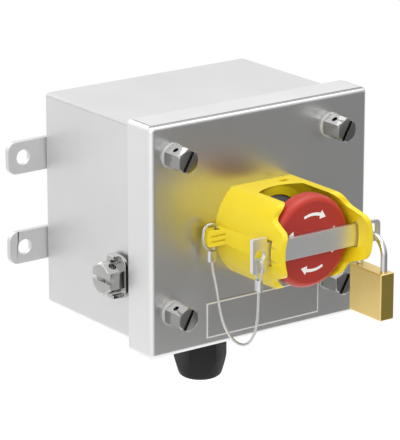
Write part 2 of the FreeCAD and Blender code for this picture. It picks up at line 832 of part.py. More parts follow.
def lock_bar():
    body = new_body("lock_bar")
    start = "%s + bar_back" % front
    half_tab = "(tab_height / 2)"
    half_bar = "(bar_height / 2)"
    corners = [("-tab_left", "-" + half_tab), ("-tab_right", "-" + half_tab), ("-tab_right", "-" + half_bar),
               ("bar_right", "-" + half_bar), ("bar_right", half_bar), ("-tab_right", half_bar),
               ("-tab_right", half_tab), ("-tab_left", half_tab)]
    strip = pad(body, "BarStrip", outline(new_sketch(body, "BarOutline", "XZ_Plane", start), corners),
                "bar_thickness")
    corners = round_edges(body, "BarCorners", strip, "bar_corner",
                          lambda e: runs_along(e, 1) and lies_at(e, 0, -size["tab_left"]))
    round_edges(body, "BarEnd", corners, "bar_end_corner",
                lambda e: runs_along(e, 1) and lies_at(e, 0, size["bar_right"]))
    face = "%s + bar_thickness" % start
    eye = circle(new_sketch(body, "BarEye", "XZ_Plane", face), "tab_hole_radius", "-tab_hole_x", "0")
    pocket(body, "BarEyeCut", eye, "bar_thickness")
    straight = "(lock_hole_height - lock_hole_width)"
    for name, share in (("LockHoleTop", 1), ("LockHoleFoot", -1)):
        end = circle(new_sketch(body, name, "XZ_Plane", face), "lock_hole_width / 2", "lock_hole_x",
                     "%d * %s / 2" % (share, straight))
        pocket(body, name + "Cut", end, "bar_thickness")
    middle = rectangle(new_sketch(body, "LockHoleSides", "XZ_Plane", face), "lock_hole_width", straight, "lock_hole_x")
    pocket(body, "LockHoleSidesCut", middle, "bar_thickness")
    return body


# Padlock


def padlock_case():
    body = new_body("padlock_case")
    middle = "-%s" % lock_middle
    top = "(%s - shackle_rise)" % crown_z
    sketch = new_sketch(body, "CaseOutline", "YZ_Plane", "lock_hole_x - case_thickness / 2")
    rectangle(sketch, "case_width", "case_height", middle, "%s - case_height / 2" % top)
    brick = pad(body, "CaseBlock", sketch, "case_thickness")
    round_edges(body, "CaseEdges", brick, "case_edge", lambda e: True)
    for name, side, depth in (("HeelBore", 1, "heel_depth"), ("ToeBore", -1, "toe_depth")):
        bore = new_sketch(body, name + "Circle", "XY_Plane", top)
        circle(bore, "shackle_radius + shackle_play", "lock_hole_x", "%s + %d * shackle_pitch / 2" % (middle, side))
        pocket(body, name, bore, "%s + bore_spare" % depth)
    key = new_sketch(body, "PlugBoreCircle", "XY_Plane", "%s - case_height" % top)
    circle(key, "plug_radius + stem_play", "lock_hole_x", middle)
    pocket(body, "PlugBore", key, "plug_length + bore_spare", along_normal=True)
    return body


def padlock_shackle():
    """Half a ring on two legs; the heel leg is the longer one."""
    crown = doc.addObject("Part::Torus", "ShackleCrown")
    crown.Placement = FreeCAD.Placement(V(0, 0, 0), FreeCAD.Rotation(V(1, 1, 1), 120))
    crown.Angle3 = 180.0
    bind(crown, "Radius1", "shackle_pitch / 2")
    bind(crown, "Radius2", "shackle_radius")
    spring_line = "(%s - shackle_pitch / 2)" % crown_z
    middle = "-%s" % lock_middle
    place(crown, "lock_hole_x", middle, spring_line)
    legs = []
    for side, depth in ((1, "heel_depth"), (-1, "toe_depth")):
        low = "(%s - shackle_rise - %s)" % (crown_z, depth)
        legs.append(post("ShackleLeg", "shackle_radius", "lock_hole_x", "%s + %d * shackle_pitch / 2" % (middle, side),
                         low, "%s - %s" % (spring_line, low)))
    return fuse("padlock_shackle", crown, *legs)


def padlock_plug():
    bottom = "(%s - shackle_rise - case_height)" % crown_z
    middle = "-%s" % lock_middle
    barrel = post("PlugBarrel", "plug_radius", "lock_hole_x", middle, bottom, "plug_length")
    keyway = block("Keyway", "lock_hole_x - keyway_width / 2", "%s - plug_radius * 0.6" % middle, bottom,
                   "keyway_width", "plug_radius * 1.2", "keyway_depth")
    return cut("padlock_plug", barrel, keyway)


# Lanyard


def tube(name, points, radius, shares):
    """A round cord along straight runs joined by tangent arcs; prints its radii and checks its volume."""
    edges = []
    here = points[0]
    radii = []
    for before, corner, after, share in zip(points, points[1:], points[2:], shares):
        way_in = (corner - before).normalize()
        way_out = (after - corner).normalize()
        turn = way_in.getAngle(way_out)
        back = share * min((corner - before).Length, (after - corner).Length)
        bend = back / math.tan(turn / 2)
        radii.append(bend)
        start = corner - way_in * back
        end = corner + way_out * back
        towards = (way_out - way_in).normalize()
        middle = corner + towards * (bend / math.cos(turn / 2) - bend)
        edges.append(Part.LineSegment(here, start).toShape())
        edges.append(Part.Arc(start, middle, end).toShape())
        here = end
    edges.append(Part.LineSegment(here, points[-1]).toShape())
    path = Part.Wire(edges)
    ring = Part.Wire(Part.makeCircle(radius, points[0], points[1] - points[0]))
    item = doc.addObject("Part::Feature", name)
    item.Shape = path.makePipeShell([ring], True, False)
    expected = math.pi * radius ** 2 * path.Length
    print("%s length %.1f radii %s volume share %.3f" % (
        name, path.Length, " ".join("%.1f" % r for r in radii), item.Shape.Volume / expected))
    return item


def from_lid(x, depth, z):
    """A point from its distance in front of the lid face."""
    return V(x, -(size["lug_thickness"] + size["box_depth"] + depth), z)


# Hand-set points of the hanging cord: X, distance in front of the lid, Z.
ROPE_ROUTE = [
    (-31.0, 5.8, -15.2),
    (-30.4, 7.2, -20.8),
    (-30.3, 8.7, -27.0),
    (-30.3, 10.4, -33.2),
    (-30.4, 13.6, -39.0),
    (-30.4, 18.8, -43.1),
    (-30.4, 24.9, -44.4),
    (-30.4, 30.6, -42.7),
    (-30.5, 34.9, -38.2),
    (-30.5, 37.2, -32.4),
    (-30.5, 38.1, -26.4),
    (-30.5, 38.3, -20.9),
]


def eye_points(centre, half, across, top, neck, gap, lean=0.0):
    """A loop that leaves the ferrule, rises, turns over and comes back beside itself."""
    side = across * half
    up = V(0, 0, 1)
    foot = centre + across * lean - up * neck
    turn = [centre + side * 0.8 - up * (neck * 0.55),
            centre + side + up * (top * 0.3),
            centre + side * 0.72 + up * (top + half * 0.72),
            centre - side * 0.72 + up * (top + half * 0.72),
            centre - side + up * (top * 0.3),
            centre - side * 0.8 - up * (neck * 0.55)]
    first = foot + across * gap
    last = foot - across * gap
    return ([first - (turn[0] - first).normalize() * size["rope_radius"] * 1.6] + turn
            + [last - (turn[-1] - last).normalize() * size["rope_radius"] * 1.6])


def trim_below(item, z):
    """Cut a loop's two ends off level, where they enter the ferrule."""
    box = item.Shape.BoundBox
    tool = Part.makeBox(box.XLength + 2, box.YLength + 2, z - box.ZMin + 1, V(box.XMin - 1, box.YMin - 1, box.ZMin - 1))
    item.Shape = item.Shape.cut(tool)
    return item


def ferrule(name, x, depth, top):
    """An oval sleeve pressed over both strands."""
    width = size["ferrule_width"]
    deep = size["ferrule_depth"]
    low = from_lid(x, depth, -top - size["ferrule_height"])
    half = (width - deep) / 2
    along = V(1, 0, 0) if name == "boss_ferrule" else V(0, 1, 0)
    beside = V(0, 1, 0) if name == "boss_ferrule" else V(1, 0, 0)
    a = low - along * half
    b = low + along * half
    r = deep / 2
    edges = [Part.LineSegment(a + beside * r, b + beside * r).toShape(),
             Part.Arc(b + beside * r, b + along * r, b - beside * r).toShape(),
             Part.LineSegment(b - beside * r, a - beside * r).toShape(),
             Part.Arc(a - beside * r, a - along * r, a + beside * r).toShape()]
    item = doc.addObject("Part::Feature", name)
    item.Shape = Part.Face(Part.Wire(edges)).extrude(V(0, 0, size["ferrule_height"]))
    return item


def lanyard():
    r = size["rope_radius"]
    gap = r + size["strand_gap"]
    lean = size["eye_lean"]
    boss_depth = size["boss_near"] + size["boss_depth"] / 2
    inner = size["boss_hole_x"] - size["boss_hole_radius"] + r + size["eye_play"]
    boss_x = -(inner + size["eye_half_width"])
    tab_depth = size["bar_back"] + size["bar_thickness"] / 2
    loop = [0.42] * 6
    boss_eye = tube("boss_eye", eye_points(from_lid(boss_x, boss_depth, 0), size["eye_half_width"], V(1, 0, 0),
                                           size["eye_top"], size["boss_ferrule_top"], gap, lean), r, loop)
    trim_below(boss_eye, -size["boss_ferrule_top"])
    tab_eye = tube("tab_eye", eye_points(from_lid(-size["tab_hole_x"], tab_depth, -size["tab_eye_top"]),
                                         size["tab_eye_half_width"], V(0, 1, 0), 0.0,
                                         size["tab_ferrule_top"] - size["tab_eye_top"], gap), r, loop)
    trim_below(tab_eye, -size["tab_ferrule_top"])
    first = from_lid(boss_x + lean, boss_depth, -size["boss_ferrule_top"] - size["ferrule_height"])
    last = from_lid(-size["tab_hole_x"], tab_depth, -size["tab_ferrule_top"] - size["ferrule_height"])
    route = [first] + [from_lid(*spot) for spot in ROPE_ROUTE] + [last]
    rope = tube("lanyard_rope", route, r, [0.45] * len(ROPE_ROUTE))
    return [boss_eye, ferrule("boss_ferrule", boss_x + lean, boss_depth, size["boss_ferrule_top"]), rope,
            ferrule("tab_ferrule", -size["tab_hole_x"], tab_depth, size["tab_ferrule_top"]), tab_eye]


# Earth screw

wall_x = "(-body_width / 2)"


def earth_ring(name, radius, x, length, bore):
    return cut(name, side_rod(name + "Outer", radius, x, length, earth_y, "earth_z"),
               side_rod(name + "Bore", bore, x, length, earth_y, "earth_z"))


def earth_clamp():
    """A square saddle with round corners and a lip bent up from its top and from its bottom."""
    body = new_body("earth_clamp")
    back = "(%s - earth_washer_thickness)" % wall_x
    outside = new_sketch(body, "ClampOutline", "YZ_Plane", "%s - clamp_sheet" % back)
    rectangle(outside, "clamp_width", "clamp_height", earth_y, "earth_z")
    plate = pad(body, "ClampPlate", outside, "clamp_sheet")
    round_edges(body, "ClampCorners", plate, "clamp_corner", lambda e: runs_along(e, 0))
    lips = new_sketch(body, "ClampLips", "YZ_Plane", "%s - clamp_sheet - clamp_lip" % back)
    for share in (1, -1):
        rectangle(lips, "clamp_width - 2 * clamp_corner", "clamp_sheet", earth_y,
                  "earth_z + %d * (clamp_height - clamp_sheet) / 2" % share)
    pad(body, "ClampLipsUp", lips, "clamp_lip + clamp_sheet")
    hole = new_sketch(body, "ClampHole", "YZ_Plane", back)
    circle(hole, "earth_radius + thread_play", earth_y, "earth_z")
    pocket(body, "ClampHoleCut", hole, "clamp_sheet")
    return body


def earth_screw():
    head = hex_head("Earth", "earth_head_across", "earth_head_height", "earth_head_across * 0.47",
                    "earth_slot_width", "earth_slot_depth", "earth_wire_hole", "earth_head_height / 2", 90)
    inside = "earth_washer_thickness + clamp_sheet + body_sheet + earth_washer_thickness + earth_nut_thickness"
    shank = post("EarthShank", "earth_radius", "0", "0", "-(%s + earth_end)" % inside, "%s + earth_end" % inside)
    whole = fuse("EarthScrewSolid", head, shank)
    doc.recompute()
    item = doc.addObject("Part::Feature", "earth_screw")
    item.Shape = whole.Shape
    seat = size["body_width"] / 2 + size["earth_washer_thickness"] + size["clamp_sheet"]
    y = -(size["lug_thickness"] + size["box_depth"] - size["earth_behind_lid"])
    item.Placement = FreeCAD.Placement(V(-seat, y, size["earth_z"]), LEFTWARD * FreeCAD.Rotation(V(0, 0, 1), 90))
    return item


def earth_nut():
    x = "(%s + body_sheet + earth_washer_thickness + earth_nut_thickness)" % wall_x
    bar = hexagon("EarthNutHex", "earth_head_across", "earth_nut_thickness", LEFTWARD, x, earth_y, "earth_z")
    return cut("earth_nut", bar, side_rod("EarthNutBore", "earth_radius + thread_play", x, "earth_nut_thickness",
                                          earth_y, "earth_z"))


# Cable gland

floor_z = "(-body_height / 2)"
hex_top = "(%s - gland_washer_thickness)" % floor_z
nut_top = "(%s - gland_hex_height - turn_gap)" % hex_top
nut_foot = "(%s - gland_nut_height)" % nut_top


def gland_post(name, radius, low, high):
    return post(name, radius, "0", gland_y, low, "%s - %s" % (high, low))


def gland_hex(name, across, low, height):
    return hexagon(name, across, height, FreeCAD.Rotation(), "0", gland_y, low)


def gland_washer():
    return cut("gland_washer", gland_post("GlandWasherOuter", "gland_washer_radius", hex_top, floor_z),
               gland_post("GlandWasherBore", "gland_thread + thread_play", hex_top, floor_z))


def gland_body():
    low = "(%s - gland_hex_height)" % hex_top
    bar = gland_hex("GlandBodyHex", "gland_across", low, "gland_hex_height")
    ring = gland_post("GlandBodyRound", "gland_across * 0.56", low, hex_top)
    thread = gland_post("GlandThread", "gland_thread", hex_top, "(%s + gland_thread_top)" % floor_z)
    tube_low = "(%s - gland_tube_height)" % low
    barrel = gland_post("GlandTube", "gland_tube_radius - thread_play", tube_low, low)
    bore = gland_post("GlandBore", "gland_bore", tube_low, "(%s + gland_thread_top)" % floor_z)
    pocket_for_seal = gland_post("GlandSealPocket", "seal_ring_radius + thread_play", tube_low,
                                 "(%s + gland_mouth_lip + seal_length)" % nut_foot)
    solid = fuse("GlandBodySolid", common("GlandBodyHead", bar, ring), thread, barrel)
    return cut("gland_body", solid, bore, pocket_for_seal)


def gland_nut():
    """A domed nut: a tapered, rounded turning that keeps its six flats."""
    dome = new_body("GlandDome")
    sketch = new_sketch(dome, "GlandDomeProfile", "XZ_Plane", "-%s" % gland_y)
    wide = "gland_across * 0.575"
    outline(sketch, [("0", nut_top), (wide, nut_top), (wide, "%s + gland_taper_height" % nut_foot),
                     ("gland_foot_radius", nut_foot), ("0", nut_foot)])
    turning = revolve(dome, "GlandDomeTurned", sketch, "V_Axis")
    foot = turning.Shape.BoundBox.ZMin
    shoulder = foot + size["gland_taper_height"]
    turning = round_edges(dome, "GlandShoulder", turning, "gland_shoulder_round", lambda e: lies_at(e, 2, shoulder))
    round_edges(dome, "GlandFoot", turning, "gland_foot_round", lambda e: lies_at(e, 2, foot))
    bar = gland_hex("GlandNutHex", "gland_across", nut_foot, "gland_nut_height")
    tube_low = "(%s + turn_gap - gland_tube_height)" % nut_top
    cavity = gland_post("GlandNutThread", "gland_tube_radius", tube_low, nut_top)
    seat = gland_post("GlandNutSeat", "seal_ring_radius + thread_play", "(%s + gland_mouth_lip)" % nut_foot, nut_top)
    mouth = gland_post("GlandNutMouth", "gland_mouth", nut_foot, nut_top)
    return cut("gland_nut", common("GlandNutBlank", dome, bar), cavity, seat, mouth)


def gland_seal():
    low = "(%s + gland_mouth_lip)" % nut_foot
    high = "(%s + seal_length)" % low
    return cut("gland_seal", gland_post("GlandSealOuter", "seal_ring_radius", low, high),
               gland_post("GlandSealBore", "seal_bore", low, high))


def gland_locknut():
    low = "(%s + body_sheet)" % floor_z
    bar = gland_hex("LocknutHex", "locknut_across", low, "locknut_thickness")
    return cut("gland_locknut", bar, gland_post("LocknutBore", "gland_thread + thread_play", low,
                                                "(%s + locknut_thickness)" % low))


def build():
    parts = [enclosure_body()]
    for level_name, level in (("upper", 1), ("lower", -1)):
        for side_name, side in (("left", -1), ("right", 1)):
            parts.append(wall_lug("lug_%s_%s" % (level_name, side_name), side, level))
    parts += [corner_bushes(), lid(), lid_gasket(), lid_screws(), screw_washers(), screw_retainers(), label_plate()]
    parts += [shroud(), actuator_seal(), collar(), ring_nut(), stem(), red_head(), return_spring()]
    parts += [contact_carrier(), contact_block("contact_block_left", -1), contact_block("contact_block_right", 1)]
    parts += [contact_pins(), terminal_screws()]
    parts += [lock_bar(), padlock_case(), padlock_shackle(), padlock_plug()]
    parts += lanyard()
    outer = "(%s)" % wall_x
    inner = "(%s + body_sheet + earth_washer_thickness)" % wall_x
    parts += [earth_ring("earth_washer", "earth_washer_radius", outer, "earth_washer_thickness",
                         "earth_radius + thread_play"),
              earth_clamp(), earth_screw(),
              earth_ring("earth_inner_washer", "earth_washer_radius * 0.8", inner, "earth_washer_thickness",
                         "earth_radius + thread_play"),
              earth_nut()]
    parts += [gland_washer(), gland_body(), gland_nut(), gland_seal(), gland_locknut()]
    return parts


parts = build()
doc.recompute()

for item in doc.Objects:
    if {"Invalid", "Error"} & set(item.State):
        raise RuntimeError("%s did not build: %s" % (item.Label, item.State))
for item in parts:
    shape = item.Shape
    if shape.isNull() or not shape.isValid() or not shape.Solids:
        raise RuntimeError("%s has no valid solid" % item.Label)
    shape.exportStep("parts/%s.step" % item.Label)
print("wrote %d sub-parts" % len(parts))
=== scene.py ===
import json
import math

import bmesh
import bpy
from mathutils import Matrix, Vector

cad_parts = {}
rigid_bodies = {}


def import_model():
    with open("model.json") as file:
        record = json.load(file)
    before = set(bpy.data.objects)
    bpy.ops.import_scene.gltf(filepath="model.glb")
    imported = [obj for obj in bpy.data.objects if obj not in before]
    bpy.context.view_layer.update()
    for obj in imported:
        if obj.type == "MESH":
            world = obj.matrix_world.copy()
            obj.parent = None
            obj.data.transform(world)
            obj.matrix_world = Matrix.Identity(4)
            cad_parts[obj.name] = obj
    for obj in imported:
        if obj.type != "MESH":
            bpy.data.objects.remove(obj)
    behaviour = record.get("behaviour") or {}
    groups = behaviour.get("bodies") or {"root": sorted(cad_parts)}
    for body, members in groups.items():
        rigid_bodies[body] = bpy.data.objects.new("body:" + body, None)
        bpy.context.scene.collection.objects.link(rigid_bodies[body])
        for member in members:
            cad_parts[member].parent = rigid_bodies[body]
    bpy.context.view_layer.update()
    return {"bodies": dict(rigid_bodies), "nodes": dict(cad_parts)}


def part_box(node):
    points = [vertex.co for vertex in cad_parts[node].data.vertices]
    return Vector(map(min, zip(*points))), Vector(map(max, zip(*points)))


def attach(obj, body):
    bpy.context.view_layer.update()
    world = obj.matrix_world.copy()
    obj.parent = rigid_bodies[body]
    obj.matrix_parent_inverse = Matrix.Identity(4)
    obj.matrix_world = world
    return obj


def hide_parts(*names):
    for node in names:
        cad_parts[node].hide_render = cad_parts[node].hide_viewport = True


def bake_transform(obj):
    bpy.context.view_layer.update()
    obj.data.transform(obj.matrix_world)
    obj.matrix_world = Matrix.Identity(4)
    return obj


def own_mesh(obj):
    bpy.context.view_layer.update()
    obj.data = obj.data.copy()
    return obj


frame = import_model()

mm = 0.001
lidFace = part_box("lid")[0].y  # the lid faces -Y


def spot(x, depth, z):  # a point from its distance in front of the lid, in mm
    return Vector((x * mm, lidFace - depth * mm, z * mm))


# finishes

def feed(tree, value, socket):  # a link from a wire, or a constant
    if isinstance(value, Wire):
        tree.links.new(value.socket, socket)
    else:
        socket.default_value = value


class Wire:  # a shader socket that takes sums
    def __init__(self, tree, socket):
        self.tree = tree
        self.socket = socket

    def sum(self, operation, other):
        node = self.tree.nodes.new("ShaderNodeMath")
        node.operation = operation
        for value, socket in zip((self, other), node.inputs):
            feed(self.tree, value, socket)
        return Wire(self.tree, node.outputs[0])

    def __add__(self, other):
        return self.sum("ADD", other)

    def __sub__(self, other):
        return self.sum("SUBTRACT", other)

    def __mul__(self, other):
        return self.sum("MULTIPLY", other)

    def clipped(self):
        node = self.tree.nodes.new("ShaderNodeClamp")
        feed(self.tree, self, node.inputs["Value"])
        return Wire(self.tree, node.outputs[0])


class Finish:
    def __init__(self, name):
        self.material = bpy.data.materials.new(name)
        self.material.use_nodes = True
        self.tree = self.material.node_tree
        self.tree.nodes.clear()
        self.shader = self.tree.nodes.new("ShaderNodeBsdfPrincipled")
        output = self.tree.nodes.new("ShaderNodeOutputMaterial")
        self.tree.links.new(self.shader.outputs[0], output.inputs["Surface"])

    def node(self, kind, settings=None, output=0, **values):  # sockets go by name, or by number as in i6
        node = self.tree.nodes.new(kind)
        for name, value in (settings or {}).items():
            setattr(node, name, value)
        for name, value in values.items():
            number = name[1:]
            feed(self.tree, value, node.inputs[int(number) if number.isdigit() else name.replace("_", " ")])
        return Wire(self.tree, node.outputs[output])

    def noise(self, scale, detail, rough=0.5, stretch=(1, 1, 1)):
        spots = self.node("ShaderNodeTexCoord", output=3)  # Object coordinates
        place = self.node("ShaderNodeMapping", Vector=spots, Scale=stretch)
        return self.node("ShaderNodeTexNoise", {"noise_dimensions": "3D"}, Vector=place,
                         Scale=scale, Detail=detail, Roughness=rough)

    def ramp(self, value, low, high):  # 0 below low, 1 above high
        return self.node("ShaderNodeMapRange", {"clamp": True}, Value=value, From_Min=low, From_Max=high)

    def blend(self, amount, first, second):  # from the first colour to the second
        return self.node("ShaderNodeMix", {"data_type": "RGBA"}, output=2, i0=amount, i6=first, i7=second)

    def bump(self, height, strength, depth):
        return self.node("ShaderNodeBump", Height=height, Strength=strength, Distance=depth)

    def wear(self, **sockets):  # sets the shader's own sockets
        for name, value in sockets.items():
            feed(self.tree, value, self.shader.inputs[name.replace("_", " ")])
        return self.material


def shaded(colour, share):
    return (*(min(1.0, part * share) for part in colour), 1)


metal = {
    "grainDetail": 4, "grainRough": 0.6, "cloudDetail": 2, "cloudShare": 0.7, "grainShare": 0.3,
    "scuffSize": 0.35, "scuffDetail": 5, "scuffRough": 0.7, "scuffFrom": 0.62, "scuffTo": 0.78,
    "dark": 0.9, "light": 1.08, "bumpDepth": 0.00005,
}


def steel(name, settings):
    paint = Finish(name)
    grain = paint.noise(settings["grainScale"], metal["grainDetail"], metal["grainRough"], settings["grain"])
    clouds = paint.noise(settings["cloudScale"], metal["cloudDetail"])
    scuffScale = settings["grainScale"] * metal["scuffSize"]
    spots = paint.noise(scuffScale, metal["scuffDetail"], metal["scuffRough"])
    scuffs = paint.ramp(spots, metal["scuffFrom"], metal["scuffTo"]) * settings["scuffs"]
    mottle = (clouds * metal["cloudShare"] + grain * metal["grainShare"]).clipped()
    dark = shaded(settings["colour"], metal["dark"])
    light = shaded(settings["colour"], metal["light"])
    rough = grain * settings["spread"] + scuffs + (settings["rough"] - settings["spread"] / 2)
    return paint.wear(Base_Color=paint.blend(mottle, dark, light), Metallic=1.0, Roughness=rough,
                      Normal=paint.bump(grain, settings["bump"], metal["bumpDepth"]))


moulded = {
    "poreDetail": 4, "poreRough": 0.6, "poreSpread": 0.08, "cloudScale": 60, "cloudDetail": 2,
    "scuffScale": 420, "scuffDetail": 6, "scuffRough": 0.75, "scuffFrom": 0.63, "scuffTo": 0.75,
    "scuffSpread": 0.12, "dark": 0.93, "light": 1.05, "worn": 1.25, "bumpDepth": 0.0001,
}


def plastic(name, settings):
    paint = Finish(name)
    pores = paint.noise(settings["pores"], moulded["poreDetail"], moulded["poreRough"])
    clouds = paint.noise(moulded["cloudScale"], moulded["cloudDetail"])
    spots = paint.noise(moulded["scuffScale"], moulded["scuffDetail"], moulded["scuffRough"])
    scuffs = paint.ramp(spots, moulded["scuffFrom"], moulded["scuffTo"])
    dark = shaded(settings["colour"], moulded["dark"])
    light = shaded(settings["colour"], moulded["light"])
    worn = shaded(settings["colour"], moulded["worn"])
    tone = paint.blend(scuffs * settings["wear"], paint.blend(clouds, dark, light), worn)
    least = settings["rough"] - moulded["poreSpread"] / 2
    rough = pores * moulded["poreSpread"] + scuffs * moulded["scuffSpread"] + least
    return paint.wear(Base_Color=tone, Roughness=rough, Specular_IOR_Level=settings["shine"],
                      Normal=paint.bump(pores, settings["bump"], moulded["bumpDepth"]))


steels = {
    "boxSteel": {"colour": (0.68, 0.685, 0.68), "rough": 0.44, "spread": 0.12, "grain": (1, 1, 1),
                 "grainScale": 2600, "cloudScale": 28, "bump": 0.35, "scuffs": 0.04},
    "lipSteel": {"colour": (0.74, 0.745, 0.74), "rough": 0.44, "spread": 0.12, "grain": (1, 1, 1),
                 "grainScale": 2600, "cloudScale": 28, "bump": 0.3, "scuffs": 0.04},
    # painted shade: a dark strip painted along the lid's upper bend
    "bendPaintedShade": {"colour": (0.3, 0.3, 0.3), "rough": 0.4, "spread": 0.1, "grain": (0.1, 1, 1),
                  "grainScale": 2600, "cloudScale": 60, "bump": 0.1, "scuffs": 0.02},
    # painted shade: the box's upper folds are painted darker than its flats
    "foldPaintedShade": {"colour": (0.56, 0.56, 0.56), "rough": 0.5, "spread": 0.1, "grain": (0.1, 1, 1),
                  "grainScale": 2600, "cloudScale": 60, "bump": 0.1, "scuffs": 0.02},
    # painted shade: the lid's face is painted darker than its lips (lipSteel)
    "lidSteel": {"colour": (0.63, 0.63, 0.625), "rough": 0.33, "spread": 0.02, "grain": (1, 1, 0.08),
                 "grainScale": 2200, "cloudScale": 22, "bump": 0.01, "scuffs": 0.0},
    "labelSteel": {"colour": (0.57, 0.57, 0.565), "rough": 0.33, "spread": 0.02, "grain": (0.08, 1, 1),
                   "grainScale": 1200, "cloudScale": 40, "bump": 0.01, "scuffs": 0.0},
    "barSteel": {"colour": (0.84, 0.84, 0.85), "rough": 0.4, "spread": 0.04, "grain": (0.05, 1, 1),
                 "grainScale": 2600, "cloudScale": 60, "bump": 0.03, "scuffs": 0.01},
    # painted shade and painted highlight: a dark copy of the screw steel, and a bright copy for upper flats
    "screwSteel": {"colour": (0.31, 0.31, 0.3), "rough": 0.15, "spread": 0.08, "grain": (1, 0.12, 1),
                   "grainScale": 3600, "cloudScale": 160, "bump": 0.1, "scuffs": 0.04},
    "screwPaintedHighlight": {"colour": (0.66, 0.66, 0.65), "rough": 0.15, "spread": 0.08, "grain": (1, 0.12, 1),
                   "grainScale": 3600, "cloudScale": 160, "bump": 0.1, "scuffs": 0.04},
    # painted shade: the screw heads' forward faces are painted dark
    "screwFacePaintedShade": {"colour": (0.21, 0.21, 0.205), "rough": 0.38, "spread": 0.1, "grain": (1, 1, 1),
                   "grainScale": 3600, "cloudScale": 160, "bump": 0.12, "scuffs": 0.04},
    "platedSteel": {"colour": (0.44, 0.44, 0.43), "rough": 0.15, "spread": 0.1, "grain": (1, 1, 1),
                    "grainScale": 3000, "cloudScale": 140, "bump": 0.1, "scuffs": 0.05},
    "caseBrass": {"colour": (0.83, 0.64, 0.26), "rough": 0.44, "spread": 0.1, "grain": (1, 1, 0.05),
                  "grainScale": 2600, "cloudScale": 90, "bump": 0.1, "scuffs": 0.04},
    # painted shade: the padlock case's narrow ends are painted darker
    "caseEndPaintedShade": {"colour": (0.42, 0.33, 0.08), "rough": 0.5, "spread": 0.08, "grain": (1, 1, 0.05),
                "grainScale": 2600, "cloudScale": 90, "bump": 0.1, "scuffs": 0.03},
    "springWire": {"colour": (0.5, 0.5, 0.5), "rough": 0.3, "spread": 0.1, "grain": (1, 1, 1),
                   "grainScale": 3000, "cloudScale": 200, "bump": 0.1, "scuffs": 0.02},
    "shackleChrome": {"colour": (0.66, 0.66, 0.66), "rough": 0.16, "spread": 0.06, "grain": (1, 1, 0.2),
                      "grainScale": 1800, "cloudScale": 150, "bump": 0.04, "scuffs": 0.03},
    "ropeWire": {"colour": (0.62, 0.62, 0.62), "rough": 0.34, "spread": 0.1, "grain": (1, 1, 1),
                 "grainScale": 4000, "cloudScale": 300, "bump": 0.1, "scuffs": 0.04},
    "ferruleAlloy": {"colour": (0.68, 0.68, 0.69), "rough": 0.3, "spread": 0.1, "grain": (1, 1, 0.3),
                     "grainScale": 3000, "cloudScale": 300, "bump": 0.12, "scuffs": 0.04},
}
plastics = {
    "shroudYellow": {"colour": (0.83, 0.64, 0.012), "shine": 0.4, "rough": 0.34, "pores": 2200,
                     "wear": 0.12, "bump": 0.1},
    "headRed": {"colour": (0.47, 0.034, 0.02), "shine": 0.4, "rough": 0.36, "pores": 2600,
                "wear": 0.2, "bump": 0.1},
    "headRedFace": {"colour": (0.38, 0.026, 0.016), "shine": 0.4, "rough": 0.46, "pores": 2600,
                    "wear": 0.2, "bump": 0.16},
    "arrowWhite": {"colour": (0.84, 0.83, 0.8), "shine": 0.3, "rough": 0.5, "pores": 2600,
                   "wear": 0.1, "bump": 0.1},
    "collarBlack": {"colour": (0.03, 0.03, 0.033), "shine": 0.25, "rough": 0.38, "pores": 2600,
                    "wear": 0.5, "bump": 0.14},
    "glandBlack": {"colour": (0.022, 0.022, 0.023), "shine": 0.1, "rough": 0.5, "pores": 1900,
                   "wear": 0.4, "bump": 0.16},
    "contactGrey": {"colour": (0.14, 0.14, 0.15), "shine": 0.3, "rough": 0.45, "pores": 2200,
                    "wear": 0.4, "bump": 0.2},
    "sealRubber": {"colour": (0.03, 0.03, 0.03), "shine": 0.2, "rough": 0.75, "pores": 1500,
                   "wear": 0.4, "bump": 0.5},
    "washerGrey": {"colour": (0.5, 0.5, 0.49), "shine": 0.3, "rough": 0.5, "pores": 2200,
                   "wear": 0.3, "bump": 0.2},
    # painted highlight: a bright rim painted round the label's edge
    "labelRimPaintedHighlight": {"colour": (0.7, 0.7, 0.69), "shine": 0.5, "rough": 0.35, "pores": 2200,
                 "wear": 0.2, "bump": 0.05},
}
finishes = {name: steel(name, settings) for name, settings in steels.items()}
finishes.update({name: plastic(name, settings) for name, settings in plastics.items()})
print("materials made:", len(finishes))


# pieces

easing = {
    "merge": 2e-6, "spinMerge": 1e-6, "flat": 0.6, "sharp": 35, "turnedSharp": 40, "wireSharp": 80,
    "steps": 2, "flatWeight": 60, "forward": 0.97, "slack": 0.2,
}


def opened(mesh):
    bm = bmesh.new()
    bm.from_mesh(mesh)
    return bm


def saved(bm, mesh):
    bm.to_mesh(mesh)
    bm.free()
    return mesh


def cut(bm, point, normal, clear=False):  # along a plane, and clears what lies beyond it
    bmesh.ops.bisect_plane(bm, geom=bm.verts[:] + bm.edges[:] + bm.faces[:], plane_co=point, plane_no=normal,
                           clear_outer=clear)


def vertsOf(geometry):
    return [item for item in geometry if isinstance(item, bmesh.types.BMVert)]


def placed(name, data):
    holder = bpy.data.objects.new(name, data)
    bpy.context.scene.collection.objects.link(holder)
    return holder


def finished(name, mesh, finish, body, sharp=easing["sharp"]):
    piece = placed(name, mesh)
    mesh.materials.clear()
    for one in (finish if isinstance(finish, list) else [finish]):
        mesh.materials.append(finishes[one])
    mesh.shade_smooth()
    mesh.set_sharp_from_angle(angle=math.radians(sharp))
    if body:
        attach(piece, body)
    return piece


def bodyOf(node):
    return next(name for name, empty in frame["bodies"].items() if frame["nodes"][node].parent == empty)


